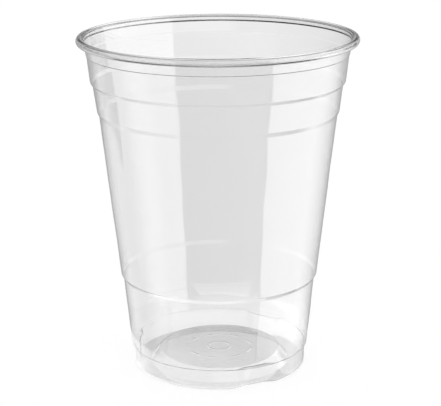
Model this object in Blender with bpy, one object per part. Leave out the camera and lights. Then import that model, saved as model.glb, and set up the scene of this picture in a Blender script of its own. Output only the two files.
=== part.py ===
"""A clear disposable drinking cup, thermoformed from one sheet of plastic.

The outer line of the section is drawn from the axis outwards and upwards, turned round
the Z axis into a skin, pressed in at three pockets round the foot and thickened inwards
to the gauge of the sheet. Metres, +Z up, origin on the table under the middle of the foot.
"""

import math
from typing import NamedTuple

import bmesh
import bpy
from mathutils import Vector

MM = 0.001

# Main sizes, over the rolled rim and from the table up
HEIGHT = 119.0 * MM
RIM_DIAMETER = 98.0 * MM
FOOT_DIAMETER = 61.7 * MM
WALL = 0.25 * MM

# Rolled rim: the sheet's edge, curled outwards and under, with its end left open
BEAD_DIAMETER = 2.55 * MM
CURL_END = math.radians(-130)

# Bands of wall from the rim down, and the ledges under them
LIP_HEIGHT = 6.1 * MM
LIP_TAPER_SHARE = 0.206
LIP_LEDGE_RISE = 0.2 * MM
LIP_LEDGE_WIDTH = 0.25 * MM
UPPER_BAND_HEIGHT = 9.6 * MM
UPPER_TAPER_SHARE = 0.112
UPPER_LEDGE_RISE = 0.5 * MM
UPPER_LEDGE_WIDTH = 0.87 * MM
GRIP_BAND_HEIGHT = 10.0 * MM
GRIP_TAPER_SHARE = 0.13
GRIP_LEDGE_RISE = 0.9 * MM
GRIP_LEDGE_WIDTH = 0.55 * MM

# Bands of wall from the table up, and the ledges over them
FOOT_HEIGHT = 6.9 * MM
FOOT_TAPER_SHARE = 0.03
SHOULDER_RISE = 0.4 * MM
SHOULDER_WIDTH = 0.8 * MM
LOWER_BAND_HEIGHT = 25.2 * MM
LOWER_TAPER_SHARE = 0.097
LOWER_LEDGE_RISE = 1.3 * MM
LOWER_LEDGE_WIDTH = 0.85 * MM

# Base: a flat ring that stands on the table, round a raised panel
CONTACT_RING_WIDTH = 6.3 * MM
PANEL_HEIGHT = 4.0 * MM
PANEL_SIDE_RUN = 3.3 * MM

# Bend radii on the inner side of the sheet
LEDGE_BEND = 0.15 * MM
SHOULDER_BEND = 0.25 * MM
FOOT_BEND = 0.9 * MM
CHANNEL_BEND = 0.3 * MM
PANEL_BEND = 0.8 * MM

# Pockets in the foot, which keep stacked cups from jamming
POCKETS = 3
POCKET_DEPTH = 2.0 * MM
POCKET_FLOOR_ANGLE = math.radians(20.5)
POCKET_SIDE_ANGLE = math.radians(4.5)
FIRST_POCKET_ANGLE = math.radians(-65)

# Fineness of the mesh
BEND_STEP = math.radians(33)
FLOOR_STEPS = 3
SIDE_STEPS = 3
BETWEEN_STEPS = 12
SHARP_ANGLE = math.radians(40)
MERGE_DISTANCE = 0.001 * MM

PLASTIC_COLOUR = (0.93, 0.94, 0.95, 1.0)
PLASTIC_ROUGHNESS = 0.06
PLASTIC_IOR = 1.57


class Corner(NamedTuple):
    """A corner of the outer line. The pockets press some of them towards the axis."""

    radius: float
    height: float
    bend: float
    pressed: bool = False

    @property
    def place(self):
        return Vector((self.radius, self.height))


def lower_corners():
    """Corners from the panel's edge to the top of the lower ledge."""
    foot_radius = FOOT_DIAMETER / 2
    channel_radius = foot_radius - CONTACT_RING_WIDTH
    panel_radius = channel_radius - PANEL_SIDE_RUN
    corners = [
        Corner(panel_radius, PANEL_HEIGHT, PANEL_BEND),
        Corner(channel_radius, 0, CHANNEL_BEND),
        Corner(foot_radius, 0, FOOT_BEND, pressed=True),
    ]
    foot_top_radius = foot_radius + FOOT_HEIGHT * FOOT_TAPER_SHARE
    corners.append(Corner(foot_top_radius, FOOT_HEIGHT, LEDGE_BEND, pressed=True))
    shoulder_radius = foot_top_radius + SHOULDER_WIDTH
    shoulder_height = FOOT_HEIGHT + SHOULDER_RISE
    corners.append(Corner(shoulder_radius, shoulder_height, SHOULDER_BEND))
    band_top_radius = shoulder_radius + LOWER_BAND_HEIGHT * LOWER_TAPER_SHARE
    band_top = shoulder_height + LOWER_BAND_HEIGHT
    corners.append(Corner(band_top_radius, band_top, LEDGE_BEND))
    ledge_radius = band_top_radius + LOWER_LEDGE_WIDTH
    corners.append(Corner(ledge_radius, band_top + LOWER_LEDGE_RISE, LEDGE_BEND))
    return corners


def curl_centre():
    """Centre of the rolled rim's section."""
    bead_radius = BEAD_DIAMETER / 2
    return Vector((RIM_DIAMETER / 2 - bead_radius, HEIGHT - bead_radius))


def curl_line():
    """The outer face of the sheet where it curls: it ends up inside the roll."""
    radius = BEAD_DIAMETER / 2 - WALL
    start = math.pi - math.atan(LIP_TAPER_SHARE)
    steps = math.ceil((start - CURL_END) / BEND_STEP)
    angles = [start + (CURL_END - start) * step / steps for step in range(steps + 1)]
    return [curl_centre() + radius * Vector((math.cos(a), math.sin(a))) for a in angles]


def upper_corners():
    """Corners from the bottom of the grip ledge to the foot of the lip, listed upwards."""
    curl_start = curl_line()[0]
    height = HEIGHT - LIP_HEIGHT
    radius = curl_start.x - (curl_start.y - height) * LIP_TAPER_SHARE
    corners = [Corner(radius, height, LEDGE_BEND)]
    for rise, width, band_height, taper_share in (
        (LIP_LEDGE_RISE, LIP_LEDGE_WIDTH, UPPER_BAND_HEIGHT, UPPER_TAPER_SHARE),
        (UPPER_LEDGE_RISE, UPPER_LEDGE_WIDTH, GRIP_BAND_HEIGHT, GRIP_TAPER_SHARE),
    ):
        radius -= width
        height -= rise
        corners.append(Corner(radius, height, LEDGE_BEND))
        radius -= band_height * taper_share
        height -= band_height
        corners.append(Corner(radius, height, LEDGE_BEND))
    radius -= GRIP_LEDGE_WIDTH
    height -= GRIP_LEDGE_RISE
    corners.append(Corner(radius, height, LEDGE_BEND))
    return corners[::-1]


def rounded(before, corner, after):
    """Points of the bend at a corner of the outer line.

    A bend is measured on the inner side of the sheet, so the outer face has a radius
    larger by the wall where the line turns towards the inside of the cup.
    """
    arriving = (corner.place - before).normalized()
    leaving = (after - corner.place).normalized()
    turn = arriving.angle(leaving)
    side = 1 if arriving.cross(leaving) > 0 else -1
    radius = corner.bend + (WALL if side > 0 else 0)
    start = corner.place - arriving * radius * math.tan(turn / 2)
    centre = start + side * radius * Vector((-arriving.y, arriving.x))
    spoke = start - centre
    steps = max(1, math.ceil(turn / BEND_STEP))
    points = []
    for step in range(steps + 1):
        angle = side * turn * step / steps
        cosine, sine = math.cos(angle), math.sin(angle)
        turned = (cosine * spoke.x - sine * spoke.y, sine * spoke.x + cosine * spoke.y)
        points.append(centre + Vector(turned))
    return points


def outer_line():
    """The outer line of the section, and for each point whether a pocket presses it."""
    middle = Vector((0, PANEL_HEIGHT))
    corners = lower_corners() + upper_corners()
    curl = curl_line()
    places = [middle] + [corner.place for corner in corners] + [curl[0]]
    points, pressed = [middle], [False]
    for before, corner, after in zip(places, corners, places[2:]):
        bend = rounded(before, corner, after)
        points += bend
        pressed += [corner.pressed] * len(bend)
    return points + curl, pressed + [False] * len(curl)


def pocket_share(vertex):
    """How far a vertex is in a pocket: 1 over its floor, and down to 0 across its side."""
    pitch = math.tau / POCKETS
    angle = math.atan2(vertex.co.y, vertex.co.x) - FIRST_POCKET_ANGLE
    offset = abs((angle + pitch / 2) % pitch - pitch / 2)
    share = 1 - (offset - POCKET_FLOOR_ANGLE / 2) / POCKET_SIDE_ANGLE
    share = min(max(share, 0), 1)
    return share * share * (3 - 2 * share)


def turned_skin(points, pressed):
    """The outer line turned round Z, with mesh lines at the edges of every pocket."""
    mesh = bmesh.new()
    press = mesh.verts.layers.float.new("press")
    start = FIRST_POCKET_ANGLE - POCKET_FLOOR_ANGLE / 2
    vertices = []
    for point, depth in zip(points, pressed):
        place = (point.x * math.cos(start), point.x * math.sin(start), point.y)
        vertices.append(mesh.verts.new(place))
        vertices[-1][press] = POCKET_DEPTH if depth else 0
    line = [mesh.edges.new(pair) for pair in zip(vertices, vertices[1:])]
    between = math.tau / POCKETS - POCKET_FLOOR_ANGLE - 2 * POCKET_SIDE_ANGLE
    stretches = (
        (POCKET_FLOOR_ANGLE, FLOOR_STEPS),
        (POCKET_SIDE_ANGLE, SIDE_STEPS),
        (between, BETWEEN_STEPS),
        (POCKET_SIDE_ANGLE, SIDE_STEPS),
    )
    for angle, steps in stretches * POCKETS:
        spun = bmesh.ops.spin(
            mesh, geom=line, cent=(0, 0, 0), axis=(0, 0, 1), angle=angle, steps=steps
        )
        line = [part for part in spun["geom_last"] if isinstance(part, bmesh.types.BMEdge)]
    bmesh.ops.remove_doubles(mesh, verts=mesh.verts, dist=MERGE_DISTANCE)
    for vertex in mesh.verts:
        outwards = Vector((vertex.co.x, vertex.co.y, 0)).normalized()
        vertex.co -= outwards * vertex[press] * pocket_share(vertex)
    mesh.verts.layers.float.remove(press)
    return mesh


def clear_plastic():
    material = bpy.data.materials.new("clear_plastic")
    material.use_nodes = True
    shader = material.node_tree.nodes["Principled BSDF"]
    shader.inputs["Base Color"].default_value = PLASTIC_COLOUR
    shader.inputs["Roughness"].default_value = PLASTIC_ROUGHNESS
    shader.inputs["Metallic"].default_value = 0
    shader.inputs["IOR"].default_value = PLASTIC_IOR
    shader.inputs["Transmission Weight"].default_value = 1
    return material


def make_cup():
    skin = turned_skin(*outer_line())
    data = bpy.data.meshes.new("cup")
    skin.to_mesh(data)
    skin.free()
    data.shade_smooth()
    data.set_sharp_from_angle(angle=SHARP_ANGLE)
    data.materials.append(clear_plastic())
    cup = bpy.data.objects.new("cup", data)
    bpy.context.scene.collection.objects.link(cup)
    sheet = cup.modifiers.new("sheet", "SOLIDIFY")
    sheet.thickness = WALL
    sheet.offset = 1  # the skin is the outer face, and its normals point into the cup
    sheet.use_even_offset = True
    sheet.use_quality_normals = True
    return cup


for leftover in list(bpy.data.objects):
    bpy.data.objects.remove(leftover)
make_cup()
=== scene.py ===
"""The looks of a clear disposable drinking cup, thermoformed from one sheet of plastic.

The sheet's section is drawn from the axis outwards and upwards, turned round the Z axis and
pressed in at three pockets. Clear plastic shows what is round it, so the rest of the script
is the white table and the studio that it mirrors and lets through.
"""

import math

import bpy
import numpy as np
from mathutils import Matrix, Vector


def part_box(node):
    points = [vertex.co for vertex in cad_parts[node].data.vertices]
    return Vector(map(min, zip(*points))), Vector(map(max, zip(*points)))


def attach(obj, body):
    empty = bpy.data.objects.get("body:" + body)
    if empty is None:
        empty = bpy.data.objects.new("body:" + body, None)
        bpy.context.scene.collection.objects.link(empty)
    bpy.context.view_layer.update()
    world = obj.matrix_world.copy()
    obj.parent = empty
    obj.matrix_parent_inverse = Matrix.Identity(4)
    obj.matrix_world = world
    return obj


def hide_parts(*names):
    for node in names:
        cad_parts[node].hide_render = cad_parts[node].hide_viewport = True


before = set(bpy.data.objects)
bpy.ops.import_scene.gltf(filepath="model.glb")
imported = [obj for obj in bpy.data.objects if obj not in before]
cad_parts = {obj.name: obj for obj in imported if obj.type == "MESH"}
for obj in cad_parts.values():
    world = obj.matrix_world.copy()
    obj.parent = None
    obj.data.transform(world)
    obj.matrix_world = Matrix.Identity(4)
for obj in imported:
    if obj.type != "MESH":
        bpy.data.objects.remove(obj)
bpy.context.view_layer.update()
cup_low, cup_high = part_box("cup")

MM = 0.001
HALF = 0.5

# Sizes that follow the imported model
HEIGHT = cup_high.z
RIM_RADIUS = min(cup_high.x, -cup_low.x, cup_high.y, -cup_low.y)

# Gauge of the sheet: over the wall, where the lip meets the rim, in the roll and at its edge
WALL = 0.25 * MM
LIP_WALL = 0.3 * MM
RIM_WALL = 0.85 * MM
EDGE_WALL = 0.45 * MM

# Rolled rim, with its end left open, and where round the roll the gauge grows and falls
BEAD_RADIUS = 1.35 * MM
CURL_END = math.radians(-130)
CURL_SWELL = math.radians(60)
CURL_THIN_FROM = math.radians(90)
CURL_THIN_OVER = math.radians(40)

# Bands of wall from the rim down, and the ledges under them
LIP_HEIGHT = 6.1 * MM
LIP_TAPER_SHARE = 0.178
LIP_LEDGE_RISE = 0.2 * MM
LIP_LEDGE_WIDTH = 0.2 * MM
UPPER_BAND_HEIGHT = 9.25 * MM
UPPER_TAPER_SHARE = 0.112
UPPER_LEDGE_RISE = 1.1 * MM
UPPER_LEDGE_WIDTH = 0.87 * MM
GRIP_BAND_HEIGHT = 9.4 * MM
GRIP_TAPER_SHARE = 0.13
GRIP_LEDGE_RISE = 1.5 * MM
GRIP_LEDGE_WIDTH = 0.7 * MM

# Bands of wall from the table up, and the ledges over them
FOOT_RADIUS = 30.85 * MM
FOOT_HEIGHT = 6.9 * MM
FOOT_TAPER_SHARE = 0.03
SHOULDER_RISE = 0.4 * MM
SHOULDER_WIDTH = 0.8 * MM
LOWER_BAND_HEIGHT = 25.2 * MM
LOWER_TAPER_SHARE = 0.097
LOWER_LEDGE_RISE = 1.3 * MM
LOWER_LEDGE_WIDTH = 0.85 * MM

# Base: a flat ring that stands on the table, round a raised panel
CONTACT_RING_WIDTH = 6.0 * MM
PANEL_HEIGHT = 4.0 * MM
PANEL_SIDE_RUN = 3.3 * MM

# Bend radii on the inner side of the sheet
SHARP_BEND = 0.05 * MM
LEDGE_BEND = 0.2 * MM
SOFT_BEND = 0.5 * MM
SHOULDER_BEND = 0.08 * MM
FOOT_BEND = 0.3 * MM
CHANNEL_BEND = 0.3 * MM
PANEL_BEND = 0.8 * MM

# Pockets pressed into the foot
POCKETS = 3
POCKET_DEPTH = 2.0 * MM
POCKET_FLOOR_ANGLE = math.radians(13)
POCKET_SIDE_ANGLE = math.radians(10)
FIRST_POCKET_ANGLE = math.radians(-65)

# Plain raised marks on the panel: a ring of dashes round a small circle
CIRCLE_RADIUS = 4.0 * MM
DASH_RING_RADIUS = 11.5 * MM
DASHES = 9
DASH_LENGTH_SHARE = 0.6
DASH_END_SHARE = 0.08
MARK_WIDTH = 0.9 * MM
MARK_HEIGHT = 0.12 * MM

# Slight unevenness of the formed walls: waves are (round the cup, up the cup, share)
RIPPLE = 0.03 * MM
RIPPLE_LOW_SHARE = 0.08
RIPPLE_HIGH_SHARE = 0.93
RIPPLE_FADE = 10
RIPPLE_WAVES = ((5, 3, 1), (9, -5, 0.6), (3, 8, 0.7), (14, 2, 0.3))

# Fineness of the mesh
BEND_STEP = math.radians(12)
FEWEST_BEND_STEPS = 2
ROW_SPACING = 3.0 * MM
SUPPORT_SPACING = 0.2 * MM
LONGEST_SUPPORT_SHARE = 0.25
MARK_ROW_SHARES = (-0.75, -0.5, -0.25, 0, 0.25, 0.5, 0.75)
FLOOR_STEPS = 12
SIDE_STEPS = 10
BETWEEN_STEPS = 64

# The plastic, with the faint grain of its surface
PLASTIC_COLOUR = (0.97, 0.97, 0.97, 1)
PLASTIC_ROUGHNESS = 0
PLASTIC_IOR = 1.57
GRAIN_PER_METRE = 160
GRAIN_DETAIL = 3
GRAIN_STRENGTH = 0.5
GRAIN_HEIGHT = 0.006 * MM

# The camera, and the photograph's frame
FRAME_WIDTH_PX = 441
FOCAL_PX = 1446.5
SENSOR_WIDTH_MM = 36.0
CAMERA_DISTANCE = 495.5 * MM
CAMERA_HEIGHT = 200.2 * MM
CAMERA_PITCH = math.radians(15.96)
CAMERA_YAW = math.radians(0.077)
CAMERA_ROLL = math.radians(-0.269)

# Brightness: the backdrop seen through the cup, the table seen directly, and its own paint
PALE = 0.925
WHITE = 1.01
TABLE_SHADE = 0.6

# The studio that the plastic mirrors, as (degrees from the front towards the right, brightness)
# below the cup, level with it and above it. PEAK is above every brightness.
LOW_STOPS = (
    (-180, 0.45), (-165, 0.45), (-140, 0.7), (-126, 0.75), (-108, 0.25), (-93, 0.43), (-82, 0.8),
    (-70, 0.8), (-58, 0.45), (-41, 0.45), (-38, 0), (49, 0), (51, 1.7), (60, 1.85), (75, 2.05),
    (110, 2.0), (130, 1.2), (150, 0.7), (165, 0.45), (180, 0.45),
)
LEVEL_STOPS = (
    (-180, 0.45), (-150, 0.4), (-135, 0.25), (-122, 0), (-60, 0), (-50, 0.25), (-35, 0.25),
    (25, 0), (41, 0), (42, 1.65), (100, 1.5), (119, 1.1), (138, 0.62), (160, 0.5), (180, 0.45),
)
HIGH_STOPS = (
    (-180, 0.9), (-140, 0.5), (-100, 0.2), (-20, 0.2), (-8, 0.8), (40, 0.8), (44, 1.2),
    (90, 1.2), (120, 1.5), (150, 1.2), (180, 0.9),
)
PEAK = 3
ZENITH = 0.3

# Degrees of elevation over which one part of the studio runs into the next
NADIR_TO_LOW = (-46, -36)
LOW_TO_LEVEL = (-16.5, -13.5)
LEVEL_TO_HIGH = (5, 15)
HIGH_TO_ZENITH = (58, 66)
BACKDROP_TO_CEILING = (22, 32)

# A dark screen at the right, behind the cup, and a dark gap straight behind it
SCREEN_NEAR_END = (119, 122)
SCREEN_FAR_END = (147, 152)
SCREEN_BOTTOM = (-8.5, -7)
GAP_SIDE = (155, 168)
GAP_TOP = (22.6, 25)

# Where the plastic mirrors the table, and not the studio: distances from the axis over which
# the table ends, out in front for the wall and nearer on all sides for the foot, and the
# length of the longest ray that still meets it
WALL_ZONE = (78 * MM, 100 * MM)
SIDE_ZONE = (44 * MM, 49 * MM)
MIRRORED_RAY = (70 * MM, 85 * MM)

# Painted light on the table, which only the cup's reflections show: extra glow round the front of
# the foot, and under the base
FOOT_ZONE = (50 * MM, 60 * MM)
FOOT_PAINTED_LIGHT = 0.45
UNDER_ZONE = (27 * MM, 30 * MM)
UNDER_PAINTED_LIGHT = 0.2

# Degrees over which the front parts end at the left and at the right, and how far from the
# axis the line of the right end passes
WALL_LEFT_END = (-56, -46)
FOOT_LEFT_END = (-85, -75)
RIGHT_END = (48, 52)
RIGHT_END_OFFSET = 14.835 * MM

# The sector at the right in which the table beside the foot is mirrored less
DIM_START = (48, 56)
DIM_END = (115, 125)
DIM_SHARE = 0.8

# The floor, which is just low enough for the foot to stand clear of it
FLOOR_REACH = 1500 * MM
FLOOR_DROP = 0.05 * MM

# Bounces of light, enough for every face of the sheet that a ray can cross
CLEAR_BOUNCES = 32
GLOSSY_BOUNCES = 16


def smooth(share):
    return share * share * (3 - 2 * share)


# Camera


def make_camera():
    data = bpy.data.cameras.new("camera")
    data.sensor_width = SENSOR_WIDTH_MM
    data.lens = FOCAL_PX / FRAME_WIDTH_PX * SENSOR_WIDTH_MM
    camera = bpy.data.objects.new("camera", data)
    turn = Matrix.Rotation(-CAMERA_YAW, 4, "Z")
    tilt = Matrix.Rotation(math.pi / 2 - CAMERA_PITCH, 4, "X")
    roll = Matrix.Rotation(CAMERA_ROLL, 4, "Z")
    place = Matrix.Translation((0, -CAMERA_DISTANCE, CAMERA_HEIGHT))
    camera.matrix_world = place @ turn @ tilt @ roll
    bpy.context.scene.collection.objects.link(camera)
    bpy.context.scene.camera = camera


# The section of the sheet


def lower_corners():
    """Corners (radius, height, bend, pressed by the pockets) up to the lower ledge."""
    channel_radius = FOOT_RADIUS - CONTACT_RING_WIDTH
    foot_top_radius = FOOT_RADIUS + FOOT_HEIGHT * FOOT_TAPER_SHARE
    shoulder_radius = foot_top_radius + SHOULDER_WIDTH
    shoulder_height = FOOT_HEIGHT + SHOULDER_RISE
    band_top_radius = shoulder_radius + LOWER_BAND_HEIGHT * LOWER_TAPER_SHARE
    band_top = shoulder_height + LOWER_BAND_HEIGHT
    return [
        (channel_radius - PANEL_SIDE_RUN, PANEL_HEIGHT, PANEL_BEND, 0),
        (channel_radius, 0, CHANNEL_BEND, 0),
        (FOOT_RADIUS, 0, FOOT_BEND, 1),
        (foot_top_radius, FOOT_HEIGHT, SHARP_BEND, 1),
        (shoulder_radius, shoulder_height, SHOULDER_BEND, 0),
        (band_top_radius, band_top, LEDGE_BEND, 0),
        (band_top_radius + LOWER_LEDGE_WIDTH, band_top + LOWER_LEDGE_RISE, LEDGE_BEND, 0),
    ]


def curl_centre():
    return Vector((RIM_RADIUS - BEAD_RADIUS, HEIGHT - BEAD_RADIUS))


def curl_start():
    """Where the lip runs into the curl, and the angle of that place round the curl."""
    angle = math.pi - math.atan(LIP_TAPER_SHARE)
    outwards = Vector((math.cos(angle), math.sin(angle)))
    return curl_centre() + (BEAD_RADIUS - LIP_WALL) * outwards, angle


def upper_corners():
    """Corners from the bottom of the grip ledge to the foot of the lip."""
    start, _ = curl_start()
    height = HEIGHT - LIP_HEIGHT
    radius = start.x + WALL - LIP_WALL - (start.y - height) * LIP_TAPER_SHARE
    corners = [(radius, height, SHARP_BEND, 0)]
    for rise, width, band, taper_share, bend in (
        (LIP_LEDGE_RISE, LIP_LEDGE_WIDTH, UPPER_BAND_HEIGHT, UPPER_TAPER_SHARE, SHARP_BEND),
        (UPPER_LEDGE_RISE, UPPER_LEDGE_WIDTH, GRIP_BAND_HEIGHT, GRIP_TAPER_SHARE, LEDGE_BEND),
        (GRIP_LEDGE_RISE, GRIP_LEDGE_WIDTH, 0, 0, SOFT_BEND),
    ):
        radius -= width
        height -= rise
        corners.append((radius, height, bend, 0))
        if band:
            radius -= band * taper_share
            height -= band
            corners.append((radius, height, SOFT_BEND, 0))
    return corners[::-1]


def bend_stations(before, corner, after, bend):
    """Places and normals along the outer face of one bend. Normals point into the sheet."""
    arriving = (corner - before).normalized()
    leaving = (after - corner).normalized()
    turn = arriving.angle(leaving)
    side = 1 if arriving.cross(leaving) > 0 else -1
    radius = bend + (WALL if side > 0 else 0)
    start = corner - arriving * radius * math.tan(turn / 2)
    across = Vector((-arriving.y, arriving.x))
    centre = start + side * radius * across
    steps = max(FEWEST_BEND_STEPS, math.ceil(turn / BEND_STEP))
    stations = []
    for step in range(steps + 1):
        angle = side * turn * step / steps
        cosine, sine = math.cos(angle), math.sin(angle)
        normal = Vector((cosine * across.x - sine * across.y, sine * across.x + cosine * across.y))
        stations.append((centre - side * radius * normal, normal))
    return stations


def panel_stations(edge):
    """Places along the flat panel, close together where its marks are raised."""
    steps = round(edge / ROW_SPACING)
    radii = [edge * step / steps for step in range(1, steps)] + [edge - SUPPORT_SPACING]
    for ring in (CIRCLE_RADIUS, DASH_RING_RADIUS):
        radii = [radius for radius in radii if abs(radius - ring) > MARK_WIDTH]
        radii += [ring + MARK_WIDTH * share for share in MARK_ROW_SHARES]
    return [(Vector((radius, PANEL_HEIGHT)), Vector((0, 1)), 0) for radius in sorted(radii)]


def run_stations(start, end, pressed_start, pressed_end):
    """Places along a straight run, with rows close to its ends to hold the normals."""
    length = (end - start).length
    if length < 2 * SUPPORT_SPACING:
        return []
    along = (end - start) / length
    normal = Vector((-along.y, along.x))
    support = min(SUPPORT_SPACING, length * LONGEST_SUPPORT_SHARE)
    steps = max(1, round(length / ROW_SPACING))
    stations = []
    for step in range(steps + 1):
        offset = support + (length - 2 * support) * step / steps
        pressed = pressed_start + (pressed_end - pressed_start) * offset / length
        stations.append((start + along * offset, normal, pressed))
    return stations


def wall_at(place):
    """Thickness of the sheet, which keeps more of its gauge towards the rim."""
    start, _ = curl_start()
    share = 1 - (start.y - place.y) / (start.y - HEIGHT + LIP_HEIGHT)
    return WALL + (LIP_WALL - WALL) * min(max(share, 0), 1)


def curl_stations():
    """Stations of the rolled rim. Its gauge grows into the roll and falls towards its edge."""
    _, start_angle = curl_start()
    steps = math.ceil((start_angle - CURL_END) / BEND_STEP)
    stations = []
    for step in range(steps + 1):
        angle = start_angle + (CURL_END - start_angle) * step / steps
        outwards = Vector((math.cos(angle), math.sin(angle)))
        swell = min((start_angle - angle) / CURL_SWELL, 1)
        thinner = min(max((CURL_THIN_FROM - angle) / CURL_THIN_OVER, 0), 1)
        wall = LIP_WALL + (RIM_WALL - LIP_WALL) * smooth(swell)
        wall -= (RIM_WALL - EDGE_WALL) * smooth(thinner)
        stations.append((curl_centre() + (BEAD_RADIUS - wall) * outwards, outwards, wall, 0))
    return stations


def section():
    """Stations (place, normal into the sheet, wall, press) of the outer face, from the axis out."""
    middle = Vector((0, PANEL_HEIGHT))
    corners = lower_corners() + upper_corners()
    start, _ = curl_start()
    places = [middle] + [Vector(corner[:2]) for corner in corners] + [start]
    stations = [(middle, Vector((0, 1)), 0)]
    for before, corner, after in zip(places, corners, places[2:]):
        bend = bend_stations(before, Vector(corner[:2]), after, corner[2])
        last_place, _, last_press = stations[-1]
        if before == middle:
            stations += panel_stations(bend[0][0].x)
        else:
            stations += run_stations(last_place, bend[0][0], last_press, corner[3])
        stations += [(place, normal, corner[3]) for place, normal in bend]
    stations += run_stations(stations[-1][0], start, 0, 0)
    stations = [(place, normal, wall_at(place), press) for place, normal, press in stations]
    return stations + curl_stations()


# The cup's mesh


def columns():
    """Angles round the axis with how far each one is inside a pocket, from 0 to 1."""
    pitch = math.tau / POCKETS
    between = pitch - POCKET_FLOOR_ANGLE - 2 * POCKET_SIDE_ANGLE
    angles, depths = [], []
    for pocket in range(POCKETS):
        angle = FIRST_POCKET_ANGLE + pocket * pitch - POCKET_FLOOR_ANGLE / 2
        for span, steps, start, end in (
            (POCKET_FLOOR_ANGLE, FLOOR_STEPS, 1, 1),
            (POCKET_SIDE_ANGLE, SIDE_STEPS, 1, 0),
            (between, BETWEEN_STEPS, 0, 0),
            (POCKET_SIDE_ANGLE, SIDE_STEPS, 0, 1),
        ):
            for step in range(steps):
                share = step / steps
                angles.append(angle + span * share)
                depths.append(start + (end - start) * smooth(share))
            angle += span
    return np.array(angles), np.array(depths)


def bump(offsets, width):
    """1 in the middle of a raised line, and smoothly down to 0 at its edges."""
    return smooth(np.clip(1 - 2 * np.abs(offsets) / width, 0, 1))


def marks(radius, angles):
    """How far the panel is raised at one radius, for every angle."""
    around = angles / math.tau * DASHES % 1 - HALF
    ends = np.clip((DASH_LENGTH_SHARE / 2 - np.abs(around)) / DASH_END_SHARE, 0, 1)
    dashes = bump(radius - DASH_RING_RADIUS, MARK_WIDTH) * ends
    circle = bump(radius - CIRCLE_RADIUS, MARK_WIDTH)
    return MARK_HEIGHT * (dashes + circle)


def ripples(height, angles):
    """How far the walls swell in and out at one height, for every angle."""
    level = height / HEIGHT
    fade = min(max((level - RIPPLE_LOW_SHARE) * RIPPLE_FADE, 0), 1)
    fade *= min(max((RIPPLE_HIGH_SHARE - level) * RIPPLE_FADE, 0), 1)
    swell = np.zeros(len(angles))
    for lobes, waves, share in RIPPLE_WAVES:
        swell += share * np.sin(lobes * angles + waves * math.tau * level)
    return RIPPLE * fade * swell


def cup_mesh():
    """The section turned round the axis, as one closed skin over both faces of the sheet."""
    stations = section()
    outer = [(place.x, place.y, press) for place, _, _, press in stations]
    inner = [(*(place + normal * wall), press) for place, normal, wall, press in stations]
    rows = outer[1:] + inner[:0:-1]
    angles, depths = columns()
    count = len(angles)
    vertices = [(0, 0, outer[0][1]), (0, 0, inner[0][1])]
    for radius, height, press in rows:
        radii = radius - POCKET_DEPTH * press * depths + ripples(height, angles)
        heights = height + marks(radius, angles)
        vertices += zip(radii * np.cos(angles), radii * np.sin(angles), heights)
    faces = []
    last = 2 + (len(rows) - 1) * count
    for column in range(count):
        after = (column + 1) % count
        faces.append((0, 2 + after, 2 + column))
        faces.append((1, last + column, last + after))
        for row in range(len(rows) - 1):
            near, far = 2 + row * count, 2 + (row + 1) * count
            faces.append((near + column, near + after, far + after, far + column))
    mesh = bpy.data.meshes.new("clear_cup")
    mesh.from_pydata(vertices, [], faces)
    mesh.validate()
    mesh.shade_smooth()
    return mesh


# Materials


def clear_plastic():
    material = bpy.data.materials.new("clear_plastic")
    material.use_nodes = True
    tree = material.node_tree
    shader = tree.nodes["Principled BSDF"]
    shader.inputs["Base Color"].default_value = PLASTIC_COLOUR
    shader.inputs["Roughness"].default_value = PLASTIC_ROUGHNESS
    shader.inputs["IOR"].default_value = PLASTIC_IOR
    shader.inputs["Transmission Weight"].default_value = 1
    place = tree.nodes.new("ShaderNodeTexCoord").outputs["Object"]
    grain = tree.nodes.new("ShaderNodeTexNoise")
    grain.inputs["Scale"].default_value = GRAIN_PER_METRE
    grain.inputs["Detail"].default_value = GRAIN_DETAIL
    tree.links.new(place, grain.inputs["Vector"])
    relief = tree.nodes.new("ShaderNodeBump")
    relief.inputs["Strength"].default_value = GRAIN_STRENGTH
    relief.inputs["Distance"].default_value = GRAIN_HEIGHT
    tree.links.new(grain.outputs["Fac"], relief.inputs["Height"])
    tree.links.new(relief.outputs["Normal"], shader.inputs["Normal"])
    return material


def maths(tree, operation, a, b=None):
    """A Math node's result, where a and b are numbers or sockets."""
    node = tree.nodes.new("ShaderNodeMath")
    node.operation = operation
    for socket, value in zip(node.inputs, (a, b)):
        if isinstance(value, bpy.types.NodeSocket):
            tree.links.new(value, socket)
        elif value is not None:
            socket.default_value = value
    return node.outputs[0]


def times(tree, *values):
    """The product of two or more sockets or numbers."""
    product = values[0]
    for value in values[1:]:
        product = maths(tree, "MULTIPLY", product, value)
    return product


def ramp(tree, value, span, start=0.0, end=1.0):
    """start below the span, end above it, and a smooth change across it."""
    node = tree.nodes.new("ShaderNodeMapRange")
    node.interpolation_type = "SMOOTHSTEP"
    node.inputs["From Min"].default_value, node.inputs["From Max"].default_value = span
    node.inputs["To Min"].default_value = start
    node.inputs["To Max"].default_value = end
    tree.links.new(value, node.inputs["Value"])
    return node.outputs[0]


def blend(tree, share, a, b):
    """a where the share is 0, b where it is 1."""
    node = tree.nodes.new("ShaderNodeMix")
    tree.links.new(share, node.inputs["Factor"])
    for socket, value in ((node.inputs["A"], a), (node.inputs["B"], b)):
        if isinstance(value, bpy.types.NodeSocket):
            tree.links.new(value, socket)
        else:
            socket.default_value = value
    return node.outputs["Result"]


def azimuth(tree, vector):
    """Degrees from the front, positive to the right, of a vector from the cup."""
    parts = tree.nodes.new("ShaderNodeSeparateXYZ")
    tree.links.new(vector, parts.inputs[0])
    front = maths(tree, "MULTIPLY", parts.outputs["Y"], -1)
    angle = maths(tree, "ARCTAN2", parts.outputs["X"], front)
    return maths(tree, "DEGREES", angle)


def elevation(tree, vector):
    """Degrees above the horizon of a vector one unit long."""
    parts = tree.nodes.new("ShaderNodeSeparateXYZ")
    tree.links.new(vector, parts.inputs[0])
    return maths(tree, "DEGREES", maths(tree, "ARCSINE", parts.outputs["Z"]))


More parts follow.
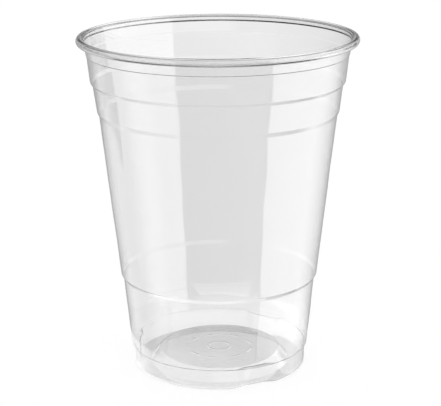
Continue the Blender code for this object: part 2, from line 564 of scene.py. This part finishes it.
def round_the_cup(tree, degrees, stops):
    """Brightness that changes with azimuth: stops are pairs of degrees and brightness."""
    node = tree.nodes.new("ShaderNodeValToRGB")
    elements = node.color_ramp.elements
    while len(elements) < len(stops):
        elements.new(1)
    for element, (place, brightness) in zip(elements, stops):
        element.position = (place + 180) / 360
        element.color = [brightness / PEAK] * 3 + [1]
    share = maths(tree, "DIVIDE", maths(tree, "ADD", degrees, 180), 360)
    tree.links.new(share, node.inputs[0])
    return maths(tree, "MULTIPLY", node.outputs["Color"], PEAK)


def light_depths(tree):
    """1 for what the camera sees by reflection, and 1 for what it sees through plastic."""
    path = tree.nodes.new("ShaderNodeLightPath")
    ray = maths(tree, "MAXIMUM", path.outputs["Is Glossy Ray"], path.outputs["Is Transmission Ray"])
    unscattered = maths(tree, "LESS_THAN", path.outputs["Diffuse Depth"], HALF)
    direct = times(tree, ray, unscattered)
    mirrored = maths(tree, "GREATER_THAN", path.outputs["Glossy Depth"], HALF)
    through = maths(tree, "GREATER_THAN", path.outputs["Transmission Depth"], HALF)
    return times(tree, mirrored, direct), times(tree, through, direct)


# The stage


def mirrored_studio(tree, degrees, height):
    """Brightness of what the plastic mirrors, from below the table's edge to overhead."""
    low = times(tree, round_the_cup(tree, degrees, LOW_STOPS), ramp(tree, height, NADIR_TO_LOW))
    screen = times(
        tree,
        ramp(tree, degrees, SCREEN_NEAR_END),
        ramp(tree, degrees, SCREEN_FAR_END, 1, 0),
        ramp(tree, height, SCREEN_BOTTOM),
    )
    beside_screen = maths(tree, "SUBTRACT", 1, screen)
    level = times(tree, round_the_cup(tree, degrees, LEVEL_STOPS), beside_screen)
    gap = times(
        tree,
        ramp(tree, maths(tree, "ABSOLUTE", degrees), GAP_SIDE),
        ramp(tree, height, GAP_TOP, 1, 0),
    )
    beside_gap = maths(tree, "SUBTRACT", 1, gap)
    high = times(tree, round_the_cup(tree, degrees, HIGH_STOPS), beside_gap)
    studio = blend(tree, ramp(tree, height, LOW_TO_LEVEL), low, level)
    studio = blend(tree, ramp(tree, height, LEVEL_TO_HIGH), studio, high)
    return blend(tree, ramp(tree, height, HIGH_TO_ZENITH), studio, ZENITH)


def make_world():
    """White to the camera and to the object, pale through the cup, and a studio in its gloss."""
    world = bpy.data.worlds.new("studio")
    world.use_nodes = True
    tree = world.node_tree
    tree.nodes.clear()
    output = tree.nodes.new("ShaderNodeOutputWorld")
    background = tree.nodes.new("ShaderNodeBackground")
    background.inputs["Color"].default_value = (1, 1, 1, 1)
    direction = tree.nodes.new("ShaderNodeTexCoord").outputs["Generated"]
    degrees = azimuth(tree, direction)
    height = elevation(tree, direction)
    mirrored, through = light_depths(tree)
    backdrop = blend(tree, ramp(tree, height, BACKDROP_TO_CEILING), PALE, 0.0)
    seen = blend(tree, through, 1, backdrop)
    seen = blend(tree, mirrored, seen, mirrored_studio(tree, degrees, height))
    tree.links.new(seen, background.inputs["Strength"])
    tree.links.new(background.outputs[0], output.inputs["Surface"])
    bpy.context.scene.world = world


def table_glow(tree, place, mirrored):
    """What the table adds to its paint, with painted light round the foot and under the base that
    only reflections show, and 1 where the plastic mirrors the table at all.
    """
    path = tree.nodes.new("ShaderNodeLightPath")
    reach = tree.nodes.new("ShaderNodeVectorMath")
    reach.operation = "LENGTH"
    tree.links.new(place, reach.inputs[0])
    reach = reach.outputs["Value"]
    degrees = azimuth(tree, place)
    swing = maths(tree, "DIVIDE", math.degrees(RIGHT_END_OFFSET), reach)
    right_end = ramp(tree, maths(tree, "ADD", degrees, swing), RIGHT_END, 1, 0)
    wall_zone = times(
        tree,
        ramp(tree, reach, WALL_ZONE, 1, 0),
        right_end,
        ramp(tree, degrees, WALL_LEFT_END),
    )
    dim = times(
        tree,
        ramp(tree, degrees, DIM_START, 0, DIM_SHARE),
        ramp(tree, degrees, DIM_END, 1, 0),
    )
    side_zone = times(tree, ramp(tree, reach, SIDE_ZONE, 1, 0), maths(tree, "SUBTRACT", 1, dim))
    near = times(
        tree,
        maths(tree, "MAXIMUM", wall_zone, side_zone),
        ramp(tree, path.outputs["Ray Length"], MIRRORED_RAY, 1, 0),
    )
    # Painted light: extra glow on the table round the front of the foot and under the base, added
    # only for rays that the plastic mirrors
    painted_foot_light = times(
        tree,
        ramp(tree, reach, FOOT_ZONE, FOOT_PAINTED_LIGHT, 0),
        right_end,
        ramp(tree, degrees, FOOT_LEFT_END),
    )
    painted_under_light = ramp(tree, reach, UNDER_ZONE, UNDER_PAINTED_LIGHT, 0)
    painted_reflection_light = times(tree, mirrored, maths(tree, "ADD", painted_foot_light, painted_under_light))
    whiter = times(tree, path.outputs["Is Camera Ray"], WHITE - PALE)
    added = maths(tree, "ADD", whiter, painted_reflection_light)
    return maths(tree, "ADD", added, PALE - TABLE_SHADE), near


def floor_material():
    """A white table, with painted light round the foot and under the base that only the cup's
    reflections show. The plastic mirrors it only near the cup, and the studio further out.
    """
    material = bpy.data.materials.new("white_table")
    material.use_nodes = True
    tree = material.node_tree
    tree.nodes.clear()
    output = tree.nodes.new("ShaderNodeOutputMaterial")
    place = tree.nodes.new("ShaderNodeNewGeometry").outputs["Position"]
    mirrored, _ = light_depths(tree)
    strength, near = table_glow(tree, place, mirrored)
    diffuse = tree.nodes.new("ShaderNodeBsdfDiffuse")
    diffuse.inputs["Color"].default_value = (TABLE_SHADE, TABLE_SHADE, TABLE_SHADE, 1)
    glow = tree.nodes.new("ShaderNodeEmission")
    tree.links.new(strength, glow.inputs["Strength"])
    seen = tree.nodes.new("ShaderNodeAddShader")
    tree.links.new(diffuse.outputs[0], seen.inputs[0])
    tree.links.new(glow.outputs[0], seen.inputs[1])
    away = tree.nodes.new("ShaderNodeBsdfTransparent")
    mix = tree.nodes.new("ShaderNodeMixShader")
    tree.links.new(times(tree, mirrored, maths(tree, "SUBTRACT", 1, near)), mix.inputs[0])
    tree.links.new(seen.outputs[0], mix.inputs[1])
    tree.links.new(away.outputs[0], mix.inputs[2])
    tree.links.new(mix.outputs[0], output.inputs["Surface"])
    return material


def make_floor():
    mesh = bpy.data.meshes.new("floor")
    corners = ((-1, -1), (1, -1), (1, 1), (-1, 1))
    vertices = [(x * FLOOR_REACH, y * FLOOR_REACH, -FLOOR_DROP) for x, y in corners]
    mesh.from_pydata(vertices, [], [(0, 1, 2, 3)])
    mesh.materials.append(floor_material())
    floor = bpy.data.objects.new("floor", mesh)
    bpy.context.scene.collection.objects.link(floor)


def make_cup():
    mesh = cup_mesh()
    mesh.materials.append(clear_plastic())
    cup = bpy.data.objects.new("clear_cup", mesh)
    bpy.context.scene.collection.objects.link(cup)
    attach(cup, "root")
    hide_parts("cup")


scene = bpy.context.scene
scene.view_settings.view_transform = "Standard"
scene.cycles.max_bounces = CLEAR_BOUNCES
scene.cycles.transmission_bounces = CLEAR_BOUNCES
scene.cycles.glossy_bounces = GLOSSY_BOUNCES
scene.cycles.blur_glossy = 0
make_camera()
make_cup()
make_world()
make_floor()
